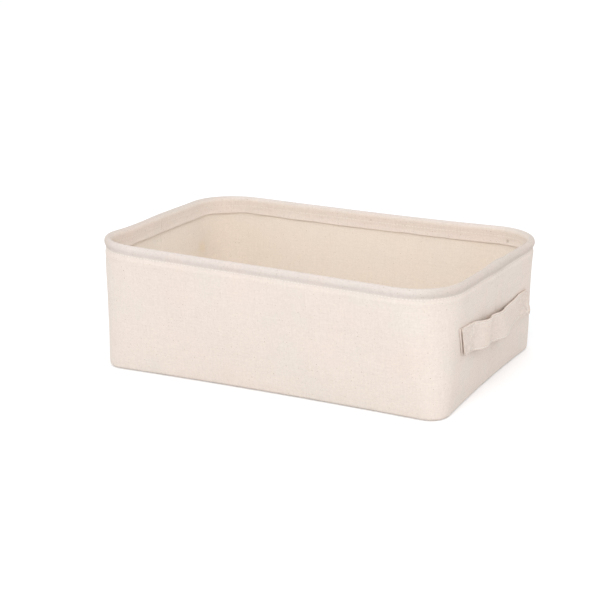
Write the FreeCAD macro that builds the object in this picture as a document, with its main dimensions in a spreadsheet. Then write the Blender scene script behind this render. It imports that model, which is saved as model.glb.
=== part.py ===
import FreeCAD, Part
import math
import os
import re

import Sketcher

# A lined canvas storage bin with a wire-stiffened rim, a strap handle on each short side
# and a loose base board.  Millimetres.  +X runs along the long side, +Y to the back, +Z up,
# and the origin is the middle of the underside.
#
# From the outside in, a wall is canvas, a stiffener sheet and a lining.  The canvas goes up
# over the rim wire and down inside as a hem, and one row of stitches under the wire closes
# the tunnel.  Every inset below is measured horizontally inwards from the wall's outer face.

DIMENSIONS = [
    # overall shape
    ("rim_half_length", 185.0, "half the length over the rim"),
    ("rim_half_depth", 125.0, "half the depth over the rim"),
    ("rim_corner", 50.0, "plan radius of the rim's corners"),
    ("rim_height", 120.0, "top of the rim above the ground"),
    ("base_half_length", 179.0, "half the length at the base"),
    ("base_half_depth", 119.0, "half the depth at the base"),
    ("base_corner", 20.0, "plan radius of the base's corners"),
    # canvas, stiffener and lining
    ("canvas", 1.2, "thickness of the outer canvas"),
    ("wall_foot", 1.3, "underside of the wall's turned-in foot"),
    ("foot_width", 9.0, "how far the wall's foot reaches inwards"),
    ("foot_bend", 2.4, "outer bend radius at the foot"),
    ("base_inset", 1.5, "edge of the outer base panel"),
    ("base_edge", 0.5, "rounding of the base panel's lower edge"),
    ("seam_gap", 0.2, "gap between the two wall panels at a side seam"),
    ("stiffener_inset", 1.35, "outer face of the stiffeners"),
    ("stiffener", 1.4, "thickness of the stiffeners"),
    ("stiffener_foot", 3.4, "lower edge of the stiffeners"),
    ("stiffener_top", 102.5, "upper edge of the stiffeners"),
    ("stiffener_margin", 2.0, "gap from a stiffener's end to the corner bend"),
    ("lining_inset", 2.85, "outer face of the lining"),
    ("lining", 0.6, "thickness of the lining"),
    ("lining_foot", 3.3, "lower edge of the wall lining"),
    ("lining_top", 111.5, "upper edge of the wall lining, caught by the rim stitches"),
    ("lining_top_inset", 3.3, "outer face of the lining at its upper edge"),
    ("base_lining_level", 2.6, "underside of the base lining"),
    # rim: hem, tunnel and wire
    ("hem_start", 103.0, "where the wall ends and the rim fold begins"),
    ("hem_start_inset", 0.8, "outer face of the canvas there"),
    ("groove_level", 110.5, "the stitched groove under the tunnel"),
    ("groove_inset", 1.6, "outer face of the canvas in the groove"),
    ("hem_groove_inset", 5.2, "inner face of the hem in the groove"),
    ("hem_edge", 102.0, "lower edge of the hem inside"),
    ("hem_edge_inset", 6.0, "inner face of the hem at its lower edge"),
    ("tunnel", 2.9, "inner radius of the wire tunnel"),
    ("tunnel_open", 40.0, "angle below level where the tunnel leaves the round, degrees"),
    ("wire", 2.0, "radius of the rim wire"),
    ("wire_gap", 1.0, "gap between the wire's ends"),
    ("sleeve_bore", 2.05, "bore radius of the crimped sleeve"),
    ("sleeve", 2.75, "outer radius of the crimped sleeve"),
    ("sleeve_length", 26.0, "length of the crimped sleeve"),
    ("thread", 0.25, "radius of the sewing thread"),
    ("thread_gap", 0.05, "gap between a thread and the cloth it lies on"),
    # handles, in a frame laid on the short wall: outwards, along the wall, up the wall
    ("handle_level", 60.0, "middle of the handle above the ground"),
    ("handle_tilt", 4.0, "how far the handle drops towards the back, degrees"),
    ("strap_width", 28.0, "width of the strap"),
    ("strap", 2.4, "thickness of the folded strap"),
    ("strap_lift", 0.35, "gap between the strap and the wall"),
    ("strap_half_length", 86.0, "half the length of the whole strap"),
    ("strap_corner", 2.0, "rounding of the strap's end corners"),
    ("grip_half_length", 57.0, "half the length that is free of the wall"),
    ("grip_rise", 9.0, "how far the grip's middle stands off beyond its ends"),
    ("grip_curve", 27.0, "length of the curve at each end of the grip"),
    ("tab_gap", 0.3, "gap between a sewn tab and the free grip"),
    ("edge_row", 2.2, "from the strap's long edge to its row of stitches"),
    ("box_margin", 3.5, "from a tab's end to the sewn box"),
    # loose base board
    ("board_half_length", 170.2, "half the length of the board"),
    ("board_half_depth", 109.0, "half the depth of the board"),
    ("board_corner", 30.0, "plan radius of the board's corners"),
    ("board", 2.5, "thickness of the board"),
    ("board_slack", 0.1, "gap between the board and its cover"),
    ("cover", 0.7, "thickness of the board's cloth cover"),
    ("cover_level", 3.35, "underside of the covered board"),
    ("cover_turn", 14.0, "how far the cover is turned under the board"),
]

# Expressions that several pieces share.
TUNNEL_ROUND = "(tunnel + canvas)"
RIM_PLAN = ("rim_half_length", "rim_half_depth", "rim_corner")
WIRE_RUN = tuple(f"({size} - tunnel - canvas)" for size in RIM_PLAN)
WIRE_LEVEL = "rim_height - tunnel - canvas"


def rising(low, high, level):
    """A wall size at some level, between its values at the foot and at the hem's start."""
    return f"({low} + ({level} - wall_foot) / (hem_start - wall_foot) * ({high} - hem_start_inset - {low}))"


def wall_plan(level):
    """Half length, half depth and corner radius of the wall's outer face at a level."""
    return (
        rising("base_half_length", "rim_half_length", level),
        rising("base_half_depth", "rim_half_depth", level),
        rising("base_corner", "rim_corner", level),
    )


doc = FreeCAD.newDocument("storage_bin")
sheet = doc.addObject("Spreadsheet::Sheet", "dims")
for row, (alias, size, note) in enumerate(DIMENSIONS, start=1):
    sheet.set(f"A{row}", alias)
    sheet.set(f"B{row}", str(size))
    sheet.set(f"C{row}", note)
    sheet.setAlias(f"B{row}", alias)
doc.recompute()

ALIASES = {alias for alias, size, note in DIMENSIONS}


def bound(expression):
    """The expression with each dimension written as a cell of the sheet."""
    return re.sub(
        r"[a-z_]+",
        lambda word: "dims." + word.group(0) if word.group(0) in ALIASES else word.group(0),
        expression,
    )


def number(expression):
    """What the expression comes to with the sheet's present sizes."""
    found = sheet.evalExpression(bound(expression))
    return float(getattr(found, "Value", found))


def drive(thing, prop, expression):
    thing.setExpression(prop, bound(expression))


# ---------------------------------------------------------------- sketches


def new_body(label):
    body = doc.addObject("PartDesign::Body", label)
    body.Label = label
    return body


def new_sketch(body, name, plane, offset="0"):
    """A sketch on one of the body's own origin planes, moved along its normal."""
    sketch = body.newObject("Sketcher::SketchObject", name)
    origin_plane = next(f for f in body.Origin.OriginFeatures if f.Role == plane)
    sketch.AttachmentSupport = [(origin_plane, "")]
    sketch.MapMode = "FlatFace"
    drive(sketch, "AttachmentOffset.Base.z", offset)
    return sketch


def pin_point(sketch, index, end, x, y, name):
    """Holds one end of a sketch element at (x, y), both driven by the sheet."""
    sketch.addConstraint(Sketcher.Constraint("DistanceX", -1, 1, index, end, number(x)))
    sketch.renameConstraint(sketch.ConstraintCount - 1, name + "_x")
    drive(sketch, f"Constraints.{name}_x", x)
    sketch.addConstraint(Sketcher.Constraint("DistanceY", -1, 1, index, end, number(y)))
    sketch.renameConstraint(sketch.ConstraintCount - 1, name + "_y")
    drive(sketch, f"Constraints.{name}_y", y)


def named_constraint(sketch, name, expression, kind, *where):
    sketch.addConstraint(Sketcher.Constraint(kind, *where, number(expression)))
    sketch.renameConstraint(sketch.ConstraintCount - 1, name)
    drive(sketch, f"Constraints.{name}", expression)


def outline(sketch, corners, closed=True):
    """A run of lines and arcs through the corners.

    Each corner is (x, y) or (x, y, radius, turn): with a radius, an arc reaches the corner
    from the one before it, turning left (1) or right (-1).  A fifth entry takes the long way.
    """
    places = [FreeCAD.Vector(number(c[0]), number(c[1]), 0) for c in corners]
    count = len(corners)
    made = []
    for step in range(count if closed else count - 1):
        begin, end = places[step], places[(step + 1) % count]
        target = corners[(step + 1) % count]
        if len(target) == 2:
            index = sketch.addGeometry(Part.LineSegment(begin, end), False)
            made.append((index, 1, 2))
            continue
        radius, turn = number(target[2]), target[3]
        chord = end - begin
        middle = (begin + end) * 0.5
        left = FreeCAD.Vector(-chord.y, chord.x, 0).normalize()
        reach = math.sqrt(max(radius**2 - (chord.Length / 2) ** 2, 0.0))
        long_way = -1 if target[4:] else 1
        crest = middle + left * turn * (long_way * reach - radius)
        arc = Part.Arc(begin, crest, end)
        index = sketch.addGeometry(arc, False)
        forward = (sketch.getPoint(index, 1) - begin).Length < 1e-4
        made.append((index, 1, 2) if forward else (index, 2, 1))
        named_constraint(sketch, f"radius_{index}", target[2], "Radius", index)
    for step in range(len(made) if closed else len(made) - 1):
        one, two = made[step], made[(step + 1) % len(made)]
        sketch.addConstraint(Sketcher.Constraint("Coincident", one[0], one[2], two[0], two[1]))
    for (index, first_end, last_end), corner in zip(made, corners):
        pin_point(sketch, index, first_end, corner[0], corner[1], f"corner_{index}")
    if not closed:
        index, first_end, last_end = made[-1]
        pin_point(sketch, index, last_end, corners[-1][0], corners[-1][1], "last_corner")


def rounded_outline(sketch, half_x, half_y, radius):
    """A rounded rectangle about the origin."""
    a, b, r = number(f"{half_x} - ({radius})"), number(f"{half_y} - ({radius})"), number(radius)
    vec = FreeCAD.Vector
    up = vec(0, 0, 1)
    quarter = math.pi / 2
    centres = [(a, -b), (a, b), (-a, b), (-a, -b)]
    ends = [
        ((-a, -b - r), (a, -b - r)),
        ((a + r, -b), (a + r, b)),
        ((a, b + r), (-a, b + r)),
        ((-a - r, b), (-a - r, -b)),
    ]
    for k in range(4):
        sketch.addGeometry(Part.LineSegment(vec(*ends[k][0], 0), vec(*ends[k][1], 0)), False)
        circle = Part.Circle(vec(*centres[k], 0), up, r)
        sketch.addGeometry(Part.ArcOfCircle(circle, (k - 1) * quarter, k * quarter), False)
    for k in range(4):
        line, arc, after = 2 * k, 2 * k + 1, (2 * k + 2) % 8
        sketch.addConstraint(Sketcher.Constraint("Tangent", line, 2, arc, 1))
        sketch.addConstraint(Sketcher.Constraint("Tangent", arc, 2, after, 1))
        sketch.addConstraint(Sketcher.Constraint("Vertical" if k % 2 else "Horizontal", line))
        if k:
            sketch.addConstraint(Sketcher.Constraint("Equal", arc - 2, arc))
    named_constraint(sketch, "corner_radius", radius, "Radius", 1)
    named_constraint(sketch, "centre_x", f"{half_x} - ({radius})", "DistanceX", -1, 1, 3, 3)
    named_constraint(sketch, "centre_y", f"{half_y} - ({radius})", "DistanceY", -1, 1, 3, 3)
    named_constraint(sketch, "straight_x", f"2 * ({half_x} - ({radius}))", "DistanceX", 0, 1, 0, 2)
    named_constraint(sketch, "straight_y", f"2 * ({half_y} - ({radius}))", "DistanceY", 2, 1, 2, 2)


def half_run(half_x, half_y, radius):
    """The front half of a rounded rectangle, from the right side seam to the left one."""
    a, b = f"{half_x} - ({radius})", f"{half_y} - ({radius})"
    return [
        (f"{half_x}", "-seam_gap / 2"),
        (f"{half_x}", f"-({b})"),
        (f"{a}", f"-({half_y})", radius, -1),
        (f"-({a})", f"-({half_y})"),
        (f"-({half_x})", f"-({b})", radius, -1),
        (f"-({half_x})", "-seam_gap / 2"),
    ]


def whole_run(half_x, half_y, radius, gap):
    """All the way round, from one side of a gap at the right side seam to the other."""
    a, b = f"{half_x} - ({radius})", f"{half_y} - ({radius})"
    front_half = half_run(half_x, half_y, radius)[1:5]
    return (
        [(half_x, f"-{gap} / 2")]
        + front_half
        + [
            (f"-({half_x})", b),
            (f"-({a})", half_y, radius, -1),
            (a, half_y),
            (half_x, b, radius, -1),
            (half_x, f"{gap} / 2"),
        ]
    )


def half_band(sketch, plan, outer, inner):
    """A U-shaped band along the front half, between two insets."""
    out, back = (half_run(*(f"({size} - {inset})" for size in plan)) for inset in (outer, inner))
    turned = [
        back[5],
        back[4][:2],
        back[3] + (back[4][2], 1),
        back[2][:2],
        back[1] + (back[2][2], 1),
        back[0],
    ]
    outline(sketch, out + turned)


def inset_outline(sketch, plan, inset):
    rounded_outline(sketch, *(f"{size} - ({inset})" for size in plan))


def box_outline(sketch, left, right, low, high):
    outline(sketch, [(left, low), (right, low), (right, high), (left, high)])


# ---------------------------------------------------------------- features


def pad(body, name, sketch, length, midplane=False):
    feature = body.newObject("PartDesign::Pad", name)
    feature.Profile = sketch
    drive(feature, "Length", length)
    if midplane:
        feature.SideType = "Symmetric"
    doc.recompute()
    return feature


def pocket(body, name, sketch, length):
    """Cuts a sketch's shape upwards from its plane, and checks that it cut something."""
    before = body.Shape.Volume
    feature = body.newObject("PartDesign::Pocket", name)
    feature.Profile = sketch
    feature.Reversed = True
    drive(feature, "Length", length)
    doc.recompute()
    if body.Shape.Volume > before - 1.0:
        raise RuntimeError(f"{body.Label}: {name} cut nothing")
    return feature


def loft(body, name, lower, upper):
    feature = body.newObject("PartDesign::AdditiveLoft", name)
    feature.Profile = lower
    feature.Sections = [upper]
    feature.Ruled = True
    doc.recompute()
    return feature


def pipe(body, name, profile, path):
    feature = body.newObject("PartDesign::AdditivePipe", name)
    feature.Profile = profile
    feature.Spine = path
    doc.recompute()
    return feature


def fillet(body, name, radius, wanted):
    """Rounds the edges of the body so far that pass the test."""
    base = body.Tip
    edges = [f"Edge{k}" for k, edge in enumerate(base.Shape.Edges, start=1) if wanted(edge)]
    feature = body.newObject("PartDesign::Fillet", name)
    feature.Base = (base, edges)
    drive(feature, "Radius", radius)
    doc.recompute()
    return feature


def circle(sketch, name, x, y, radius):
    centre = FreeCAD.Vector(number(x), number(y), 0)
    index = sketch.addGeometry(Part.Circle(centre, FreeCAD.Vector(0, 0, 1), number(radius)), False)
    named_constraint(sketch, name + "_radius", radius, "Radius", index)
    pin_point(sketch, index, 3, x, y, name + "_centre")


def thread_along(label, corners, plane_level, start_offset, start_x, radius):
    """A round thread or wire along an open run drawn at some level."""
    body = new_body(label)
    path = new_sketch(body, label + "_path", "XY_Plane", plane_level)
    outline(path, corners, closed=False)
    section = new_sketch(body, label + "_section", "XZ_Plane", start_offset)
    circle(section, "round", start_x, plane_level, radius)
    pipe(body, label + "_sweep", section, path)
    return body


def mirrored(source, label, normal):
    """The same piece on the bin's other side."""
    twin = doc.addObject("Part::Mirroring", label)
    twin.Label = label
    twin.Source = source
    twin.Base = FreeCAD.Vector(0, 0, 0)
    twin.Normal = FreeCAD.Vector(*normal)
    return twin


TO_BACK = (0, 1, 0)
TO_LEFT = (1, 0, 0)
nodes = []


def keep(body):
    nodes.append(body)
    return body


# ---------------------------------------------------------------- outer canvas


def rim_fold_outline(sketch):
    """The canvas from the wall's top, over the wire and down inside to the hem's edge."""
    x = "rim_half_length"
    centre_x, centre_z = f"{x} - {TUNNEL_ROUND}", f"rim_height - {TUNNEL_ROUND}"
    reach, drop = "cos(tunnel_open * 1deg)", "sin(tunnel_open * 1deg)"

    def on_tunnel(radius, side):
        return (f"{centre_x} {side} {radius} * {reach}", f"{centre_z} - {radius} * {drop}")

    outline(
        sketch,
        [
            (f"{x} - hem_start_inset", "hem_start"),
            (f"{x} - groove_inset", "groove_level"),
            on_tunnel(TUNNEL_ROUND, "+"),
            on_tunnel(TUNNEL_ROUND, "-") + (TUNNEL_ROUND, 1, "long"),
            (f"{x} - hem_groove_inset", "groove_level"),
            (f"{x} - hem_edge_inset", "hem_edge"),
            (f"{x} - hem_edge_inset + canvas", "hem_edge"),
            (f"{x} - hem_groove_inset + canvas", "groove_level"),
            on_tunnel("tunnel", "-"),
            on_tunnel("tunnel", "+") + ("tunnel", -1, "long"),
            (f"{x} - groove_inset - canvas", "groove_level"),
            (f"{x} - hem_start_inset - canvas", "hem_start"),
        ],
    )


def wall_panel(label):
    """The front wall and the front halves of both short walls, in one piece with its hem."""
    body = new_body(label)
    foot = new_sketch(body, "wall_foot_outline", "XY_Plane", "wall_foot")
    half_band(foot, wall_plan("wall_foot"), "0", "canvas")
    head = new_sketch(body, "wall_head_outline", "XY_Plane", "hem_start")
    half_band(head, wall_plan("hem_start"), "0", "canvas")
    loft(body, "wall", foot, head)

    turn = new_sketch(body, "foot_outline", "XY_Plane", "wall_foot")
    half_band(turn, wall_plan("wall_foot"), "0", "foot_width")
    pad(body, "foot", turn, "canvas")

    section = new_sketch(body, "rim_fold_section", "XZ_Plane", "seam_gap / 2")
    rim_fold_outline(section)
    path = new_sketch(body, "rim_path", "XY_Plane", "hem_start")
    outline(path, half_run(*RIM_PLAN), closed=False)
    pipe(body, "rim_fold", section, path)

    low, corner_x = number("wall_foot"), number("base_half_length") - number("base_corner")
    corner_y = number("base_half_depth") - number("base_corner")

    def outside_foot(edge):
        middle = edge.valueAt((edge.FirstParameter + edge.LastParameter) / 2)
        over_x, over_y = max(abs(middle.x) - corner_x, 0.0), max(abs(middle.y) - corner_y, 0.0)
        on_outline = abs(math.hypot(over_x, over_y) - number("base_corner")) < 0.05
        return on_outline and edge.BoundBox.ZMax < low + 0.01

    fillet(body, "foot_bend_round", "foot_bend", outside_foot)
    return body


def base_panel(label):
    body = new_body(label)
    sketch = new_sketch(body, "base_outline", "XY_Plane")
    inset_outline(sketch, wall_plan("wall_foot"), "base_inset")
    pad(body, "base", sketch, "canvas")
    fillet(body, "base_round", "base_edge", lambda edge: edge.BoundBox.ZMax < 0.01)
    return body


front_panel = keep(wall_panel("front_panel"))
keep(mirrored(front_panel, "back_panel", TO_BACK))
keep(base_panel("base_panel"))


# ---------------------------------------------------------------- rim wire


def sleeve(label):
    body = new_body(label)
    sketch = new_sketch(body, "sleeve_section", "XZ_Plane")
    circle(sketch, "outside", WIRE_RUN[0], WIRE_LEVEL, "sleeve")
    circle(sketch, "bore", WIRE_RUN[0], WIRE_LEVEL, "sleeve_bore")
    pad(body, "tube", sketch, "sleeve_length", midplane=True)
    return body


wire_run = whole_run(*WIRE_RUN, "wire_gap")
keep(thread_along("rim_wire", wire_run, WIRE_LEVEL, "wire_gap / 2", WIRE_RUN[0], "wire"))
keep(sleeve("rim_wire_sleeve"))


# ---------------------------------------------------------------- rim stitches


def rim_stitches(label, inset):
    plan = tuple(f"({size} - ({inset}))" for size in RIM_PLAN)
    run = whole_run(*plan, "wire_gap")
    return thread_along(label, run, "groove_level", "wire_gap / 2", plan[0], "thread")


keep(rim_stitches("rim_topstitch", "groove_inset - thread - thread_gap"))
keep(rim_stitches("rim_understitch", "hem_groove_inset + thread + 3 * thread_gap"))


# ---------------------------------------------------------------- stiffeners


def stiffener(label, along, across):
    """A flat sheet between canvas and lining; along and across pick sizes from wall_plan."""
    body = new_body(label)
    sketches = []
    for name, level in (("foot", "stiffener_foot"), ("top", "stiffener_top")):
        plan = wall_plan(level)
        sketch = new_sketch(body, f"sheet_{name}", "XY_Plane", level)
        half = f"({plan[along]} - {plan[2]} - stiffener_margin)"
        far = f"({plan[across]} - stiffener_inset)"
        near = f"({far} - stiffener)"
        if along:
            box_outline(sketch, near, far, f"-{half}", half)
        else:
            box_outline(sketch, f"-{half}", half, f"-{far}", f"-{near}")
        sketches.append(sketch)
    loft(body, "sheet", *sketches)
    return body


front_stiffener = keep(stiffener("front_stiffener", 0, 1))
keep(mirrored(front_stiffener, "back_stiffener", TO_BACK))
right_stiffener = keep(stiffener("right_stiffener", 1, 0))
keep(mirrored(right_stiffener, "left_stiffener", TO_LEFT))


# ---------------------------------------------------------------- lining


def wall_lining(label):
    body = new_body(label)
    foot = new_sketch(body, "lining_foot_outline", "XY_Plane", "lining_foot")
    half_band(foot, wall_plan("lining_foot"), "lining_inset", "(lining_inset + lining)")
    top = new_sketch(body, "lining_top_outline", "XY_Plane", "lining_top")
    half_band(top, RIM_PLAN, "lining_top_inset", "(lining_top_inset + lining)")
    loft(body, "lining_wall", foot, top)
    return body


def base_lining(label):
    body = new_body(label)
    sketch = new_sketch(body, "base_lining_outline", "XY_Plane", "base_lining_level")
    inset_outline(sketch, wall_plan("wall_foot"), "lining_inset")
    pad(body, "base_cloth", sketch, "lining")
    return body


front_lining = keep(wall_lining("front_lining"))
keep(mirrored(front_lining, "back_lining", TO_BACK))
keep(base_lining("base_lining"))


# ---------------------------------------------------------------- loose base board

BOARD_PLAN = ("board_half_length", "board_half_depth", "board_corner")


def board(label):
    body = new_body(label)
    sketch = new_sketch(body, "board_outline", "XY_Plane", "cover_level + cover + board_slack")
    inset_outline(sketch, BOARD_PLAN, "0")
    pad(body, "board_sheet", sketch, "board")
    return body


def board_cover(label):
    """Cloth over the top and sides of the board, turned under along its edge."""
    body = new_body(label)
    outside = new_sketch(body, "cover_outline", "XY_Plane", "cover_level")
    inset_outline(outside, BOARD_PLAN, "-board_slack - cover")
    pad(body, "cover_block", outside, "2 * cover + 2 * board_slack + board")
    room = new_sketch(body, "board_room_outline", "XY_Plane", "cover_level + cover")
    inset_outline(room, BOARD_PLAN, "-board_slack")
    pocket(body, "board_room", room, "2 * board_slack + board")
    window = new_sketch(body, "window_outline", "XY_Plane", "cover_level")
    inset_outline(window, BOARD_PLAN, "cover_turn")
    pocket(body, "window", window, "cover")
    return body


keep(board("base_board"))
keep(board_cover("base_board_cover"))


# ---------------------------------------------------------------- handles

WALL_LEAN = "atan((rim_half_length - hem_start_inset - base_half_length) / (hem_start - wall_foot))"


def lay_on_wall(body):
    """Puts a handle piece on the right wall: x outwards, y along the strap, z up the wall."""
    where = f"vector({wall_plan('handle_level')[0]}; 0; handle_level)"
    turn = f"rotation(vector(0; 1; 0); {WALL_LEAN}) * rotation(vector(1; 0; 0); -handle_tilt)"
    drive(body, "Placement", f"placement({where}; {turn})")
    return body


def strap_run(depth):
    """Points along the grip, from front to back, on a face this deep below its middle plane."""
    bend = "((grip_curve ^ 2 + grip_rise ^ 2) / (4 * grip_rise))"
    low = f"strap_lift + strap / 2 - ({depth})"
    half_way = f"{low} + grip_rise / 2 + ({depth}) * grip_rise / (2 * {bend})"
    half_way_along = f"(grip_half_length - grip_curve / 2 - ({depth}) * grip_curve / (2 * {bend}))"
    high, crest_along = f"{low} + grip_rise", "(grip_half_length - grip_curve)"
    wide, tight = f"({bend} + ({depth}))", f"({bend} - ({depth}))"
    return [
        (low, "-grip_half_length"),
        (half_way, f"-{half_way_along}", wide, -1),
        (high, f"-{crest_along}", tight, 1),
        (high, crest_along),
        (half_way, half_way_along, tight, 1),
        (low, "grip_half_length", wide, -1),
    ]


def backwards(run):
    """The same run of corners, from its other end."""
    arcs = [corner[2:] for corner in run]
    turned = [run[-1][:2]]
    for step in range(len(run) - 1, 0, -1):
        arc = (arcs[step][0], -arcs[step][1]) if arcs[step] else ()
        turned.append(run[step - 1][:2] + arc)
    return turned


def grip(label):
    body = new_body(label)
    sketch = new_sketch(body, "grip_outline", "XY_Plane")
    outline(sketch, strap_run("strap / 2") + backwards(strap_run("-strap / 2")))
    pad(body, "grip_strap", sketch, "strap_width", midplane=True)
    return lay_on_wall(body)


def edge_stitches(label, side):
    depth = "-(strap / 2 + thread + thread_gap)"
    level = f"{side}(strap_width / 2 - edge_row)"
    start = f"strap_lift + strap / 2 - ({depth})"
    body = thread_along(label, strap_run(depth), level, "grip_half_length", start, "thread")
    return lay_on_wall(body)


def tab(label):
    """The strap's sewn front end."""
    body = new_body(label)
    sketch = new_sketch(body, "tab_outline", "XY_Plane")
    far = "-(grip_half_length + tab_gap)"
    box_outline(sketch, "strap_lift", "strap_lift + strap", "-strap_half_length", far)
    pad(body, "tab_strap", sketch, "strap_width", midplane=True)
    end = -number("strap_half_length")

    def end_corner(edge):
        box = edge.BoundBox
        return box.YMax < end + 0.01 and box.ZLength < 0.01

    fillet(body, "end_corners", "strap_corner", end_corner)
    return lay_on_wall(body)


def box_stitches(label):
    """The sewn box on the strap's front end."""
    body = new_body(label)
    sketch = new_sketch(body, "box_outline", "YZ_Plane", "strap_lift + strap + thread_gap")
    low, high = "-strap_half_length + box_margin", "-(grip_half_length + tab_gap + thread)"
    half = "(strap_width / 2 - edge_row)"
    box_outline(sketch, low, high, f"-{half}", half)
    inner_half = f"({half} - 2 * thread)"
    box_outline(sketch, f"{low} + 2 * thread", f"{high} - 2 * thread", f"-{inner_half}", inner_half)
    pad(body, "box_thread", sketch, "2 * thread")
    return lay_on_wall(body)


def at_back_end(source, label):
    """A piece of the strap's front end, repeated at its back end."""
    along = source.Placement.Rotation.multVec(FreeCAD.Vector(0, 1, 0))
    twin = mirrored(source, label, along)
    twin.Base = source.Placement.Base
    return twin


front_tab, front_box = tab("right_handle_front_tab"), box_stitches("right_front_box_stitches")
doc.recompute()
right_pieces = [
    grip("right_handle_grip"),
    edge_stitches("right_grip_upper_stitches", ""),
    edge_stitches("right_grip_lower_stitches", "-"),
    front_tab,
    front_box,
    at_back_end(front_tab, "right_handle_back_tab"),
    at_back_end(front_box, "right_back_box_stitches"),
]
for piece in right_pieces:
    keep(piece)
    keep(mirrored(piece, piece.Label.replace("right", "left", 1), TO_LEFT))


# ---------------------------------------------------------------- checks and files


def check(thing):
    if "Invalid" in thing.State or "Error" in thing.State:
        raise RuntimeError(f"{thing.Label} did not compute: {thing.State}")


doc.recompute()
for thing in doc.Objects:
    check(thing)

os.makedirs("parts", exist_ok=True)
for node in nodes:
    if node.Shape.isNull() or not node.Shape.isValid() or len(node.Shape.Solids) != 1:
        raise RuntimeError(f"{node.Label} is not one valid solid")
    node.Shape.exportStep(f"parts/{node.Label}.step")
print(f"{len(nodes)} pieces written")
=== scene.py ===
import math

import bmesh
import bpy
from mathutils import Matrix, Vector, noise


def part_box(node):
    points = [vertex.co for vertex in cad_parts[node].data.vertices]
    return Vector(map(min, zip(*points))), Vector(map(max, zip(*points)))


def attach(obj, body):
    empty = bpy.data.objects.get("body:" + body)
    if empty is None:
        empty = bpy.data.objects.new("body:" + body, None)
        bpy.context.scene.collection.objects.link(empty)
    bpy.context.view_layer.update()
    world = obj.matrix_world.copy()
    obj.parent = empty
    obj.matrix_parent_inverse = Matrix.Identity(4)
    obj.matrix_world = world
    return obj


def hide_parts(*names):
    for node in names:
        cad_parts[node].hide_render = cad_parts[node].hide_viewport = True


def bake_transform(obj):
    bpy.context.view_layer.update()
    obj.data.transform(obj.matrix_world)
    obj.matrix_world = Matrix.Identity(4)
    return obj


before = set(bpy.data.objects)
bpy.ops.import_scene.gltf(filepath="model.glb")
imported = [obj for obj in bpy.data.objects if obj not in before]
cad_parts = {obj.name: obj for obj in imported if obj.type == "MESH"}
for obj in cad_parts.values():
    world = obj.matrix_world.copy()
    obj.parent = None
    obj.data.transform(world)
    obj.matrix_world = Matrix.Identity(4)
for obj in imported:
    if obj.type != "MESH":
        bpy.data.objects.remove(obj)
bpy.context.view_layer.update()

# Lengths are in millimetres while a shape is worked out, and go into meshes as metres.
mm = 0.001

panelLow, panelHigh = (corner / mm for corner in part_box("front_panel"))
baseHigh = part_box("base_panel")[1] / mm

binShape = {
    "rimHalfLength": panelHigh.x,
    "rimHalfDepth": -panelLow.y,
    "rimTop": panelHigh.z,
    "rimCorner": 50.0,
    "baseHalfLength": baseHigh.x + 1.5,
    "baseHalfDepth": baseHigh.y + 1.5,
    "baseCorner": 20.0,
    "footLevel": 1.3,        # where the straight wall starts
    "hemStart": 103.0,       # where it ends
    "rimFlare": 4.0,         # height over which the wall comes out to the rim's own outline
    "hemStartInset": 0.8,
    "tubeHalfWidth": 3.45,   # outside of the wire tunnel
    "tubeHalfHeight": 4.3,
    "canvas": 1.2,
    "lining": 0.6,
    "baseLining": 0.48,
    "liningInset": 2.85,
    "stiffenerInset": 1.35,
    "stiffener": 1.4,
}

# How the soft bin really stands: each corner of the rim and of the base leans a little its
# own way, the base edges draw in between their corners, and the walls are never quite flat.
settling = {
    "rimCorners": {"backRight": (3.8, 0.3, -3.5), "backLeft": (-2.1, -1.3, -0.7),
                   "frontLeft": (-0.3, 0.8, 7.9), "frontRight": (-3.4, -1.0, 0.9)},
    "baseCorners": {"backRight": (0.6, 1.2, 0.0), "backLeft": (0.7, -0.2, 0.0),
                    "frontLeft": (0.6, 0.3, 0.0), "frontRight": (0.0, 0.0, 0.0)},
    "cornerPush": {"backRight": 1.9, "backLeft": 1.6, "frontLeft": 1.7, "frontRight": 0.0},
    "cornerReach": (0.68, 0.92),      # how near a corner the push starts, and where it's full
    "longEdgeBow": 4.2,
    "longEdgeReach": (0.45, 0.95),    # how far out from the middle the bow starts, and where it's full
    "shortEdgeBow": 3.6,
    "shortEdgeReach": (0.6, 0.97),
    "longEdgeLift": 0.15,
    "leftWallPinch": 1.5,
    "wallWave": 0.75,        # how far the walls' soft waves go in and out
    "wallWaveSize": 70.0,
    "rimWave": 0.45,         # the wire isn't perfectly straight
    "rimWaveSize": 95.0,
}


def smooth(low, high, value):
    share = min(max((value - low) / (high - low), 0.0), 1.0)
    return share * share * (3 - 2 * share)


def planAt(z):  # half length, half depth and corner radius of the canvas's outer face
    shape = binShape
    foot = shape["footLevel"]
    rise = (min(z, shape["hemStart"]) - foot) / (shape["hemStart"] - foot)
    flare = smooth(shape["hemStart"], shape["hemStart"] + shape["rimFlare"], z) - 1
    sizes = []
    for low, high in (("baseHalfLength", "rimHalfLength"), ("baseHalfDepth", "rimHalfDepth"),
                      ("baseCorner", "rimCorner")):
        top = shape[high] - shape["hemStartInset"]
        wall = shape[low] + (top - shape[low]) * rise
        sizes.append(wall + shape["hemStartInset"] * (flare + 1))
    return sizes


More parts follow.
